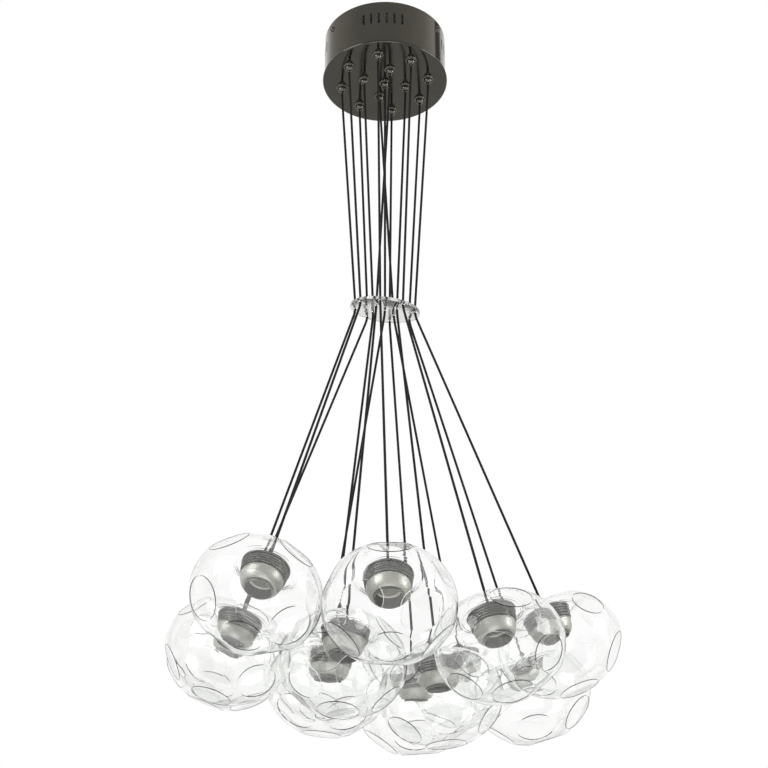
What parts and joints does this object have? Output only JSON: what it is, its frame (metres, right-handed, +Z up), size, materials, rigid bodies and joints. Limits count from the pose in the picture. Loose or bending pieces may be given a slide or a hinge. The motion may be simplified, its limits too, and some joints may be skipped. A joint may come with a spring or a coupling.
{
  "type": "cluster pendant light",
  "caption": "Ceiling light with a drum canopy, long black cords through a clear spreader disc and a cluster of clear glass globes round open lampholders.",
  "frame": {"origin": "centre of the canopy's open rim, on the ceiling plane", "axes": "+Z up, out of the ceiling face; -Y towards the viewer of the picture; +X to that viewer's right"},
  "size_m": [0.63, 0.7378, 1.1703],
  "materials": {
    "black_nickel": "polished black nickel plating",
    "zinc_steel": "bright zinc plated steel",
    "white_plastic": "moulded white polyamide",
    "clear_acrylic": "clear cast acrylic, polished edge",
    "black_cord": "black PVC sheathed round cord",
    "clear_glass": "clear blown glass with thumbprint dimples",
    "grey_metal": "satin grey metal cup round a dark lampholder"
  },
  "bodies": {
    "canopy": {"canopy": "black_nickel", "ceiling_strap": "zinc_steel", "canopy_side_screws": "black_nickel", "terminal_block": "white_plastic", "cord_grips": "black_nickel", "grip_locknuts": "zinc_steel", "spreader_disc": "clear_acrylic", "upper_cords": "black_cord"},
    "pendant_01": {"cord_01": "black_cord", "globe_01": "clear_glass", "lid_01": "black_nickel", "lampholder_01": "grey_metal"},
    "pendant_02": {"cord_02": "black_cord", "globe_02": "clear_glass", "lid_02": "black_nickel", "lampholder_02": "grey_metal"},
    "pendant_03": {"cord_03": "black_cord", "globe_03": "clear_glass", "lid_03": "black_nickel", "lampholder_03": "grey_metal"},
    "pendant_04": {"cord_04": "black_cord", "globe_04": "clear_glass", "lid_04": "black_nickel", "lampholder_04": "grey_metal"},
    "pendant_05": {"cord_05": "black_cord", "globe_05": "clear_glass", "lid_05": "black_nickel", "lampholder_05": "grey_metal"},
    "pendant_06": {"cord_06": "black_cord", "globe_06": "clear_glass", "lid_06": "black_nickel", "lampholder_06": "grey_metal"},
    "pendant_07": {"cord_07": "black_cord", "globe_07": "clear_glass", "lid_07": "black_nickel", "lampholder_07": "grey_metal"},
    "pendant_08": {"cord_08": "black_cord", "globe_08": "clear_glass", "lid_08": "black_nickel", "lampholder_08": "grey_metal"},
    "pendant_09": {"cord_09": "black_cord", "globe_09": "clear_glass", "lid_09": "black_nickel", "lampholder_09": "grey_metal"},
    "pendant_10": {"cord_10": "black_cord", "globe_10": "clear_glass", "lid_10": "black_nickel", "lampholder_10": "grey_metal"},
    "pendant_11": {"cord_11": "black_cord", "globe_11": "clear_glass", "lid_11": "black_nickel", "lampholder_11": "grey_metal"},
    "pendant_12": {"cord_12": "black_cord", "globe_12": "clear_glass", "lid_12": "black_nickel", "lampholder_12": "grey_metal"},
    "pendant_13": {"cord_13": "black_cord", "globe_13": "clear_glass", "lid_13": "black_nickel", "lampholder_13": "grey_metal"}
  },
  "joints": [
    {"name": "swing_01", "type": "hinge", "parent": "canopy", "child": "pendant_01", "pos_m": [-0.00694, -0.0432, -0.52915], "axis": [-0.9978, -0.0655, 0], "range_deg": [0, 8]},
    {"name": "swing_02", "type": "hinge", "parent": "canopy", "child": "pendant_02", "pos_m": [0.02608, -0.03449, -0.53132], "axis": [-0.6056, -0.7957, 0], "range_deg": [0, 8]},
    {"name": "swing_03", "type": "hinge", "parent": "canopy", "child": "pendant_03", "pos_m": [0.04382, -0.00558, -0.52685], "axis": [0.0812, -0.9967, 0], "range_deg": [0, 8]},
    {"name": "swing_04", "type": "hinge", "parent": "canopy", "child": "pendant_04", "pos_m": [0.03589, 0.0266, -0.51836], "axis": [0.6611, -0.7503, 0], "range_deg": [0, 8]},
    {"name": "turn_05", "type": "hinge", "parent": "canopy", "child": "pendant_05", "pos_m": [0.00694, 0.04318, -0.51083], "axis": [-0.0664, -0.3083, 0.949], "range_deg": [-90, 90]},
    {"name": "swing_06", "type": "hinge", "parent": "canopy", "child": "pendant_06", "pos_m": [-0.02607, 0.03448, -0.50866], "axis": [0.5242, 0.8516, 0], "range_deg": [0, 8]},
    {"name": "swing_07", "type": "hinge", "parent": "canopy", "child": "pendant_07", "pos_m": [-0.04381, 0.00558, -0.51313], "axis": [-0.0635, 0.998, 0], "range_deg": [0, 8]},
    {"name": "swing_08", "type": "hinge", "parent": "canopy", "child": "pendant_08", "pos_m": [-0.03589, -0.0266, -0.52162], "axis": [-0.805, 0.5933, 0], "range_deg": [0, 8]},
    {"name": "turn_09", "type": "hinge", "parent": "canopy", "child": "pendant_09", "pos_m": [-0.01309, -0.01751, -0.52246], "axis": [0.0728, 0.0824, 0.9939], "range_deg": [-90, 90]},
    {"name": "turn_10", "type": "hinge", "parent": "canopy", "child": "pendant_10", "pos_m": [0.01748, -0.01235, -0.52501], "axis": [-0.099, -0.0988, 0.9902], "range_deg": [-90, 90]},
    {"name": "swing_11", "type": "hinge", "parent": "canopy", "child": "pendant_11", "pos_m": [0.01309, 0.01751, -0.51752], "axis": [0.952, -0.3061, 0], "range_deg": [0, 8]},
    {"name": "turn_12", "type": "hinge", "parent": "canopy", "child": "pendant_12", "pos_m": [-0.01748, 0.01236, -0.51497], "axis": [0.1114, -0.1651, 0.98], "range_deg": [-90, 90]},
    {"name": "swing_13", "type": "hinge", "parent": "canopy", "child": "pendant_13", "pos_m": [0, 0, -0.52], "axis": [0.9487, 0.3162, 0], "range_deg": [0, 8]}
  ]
}
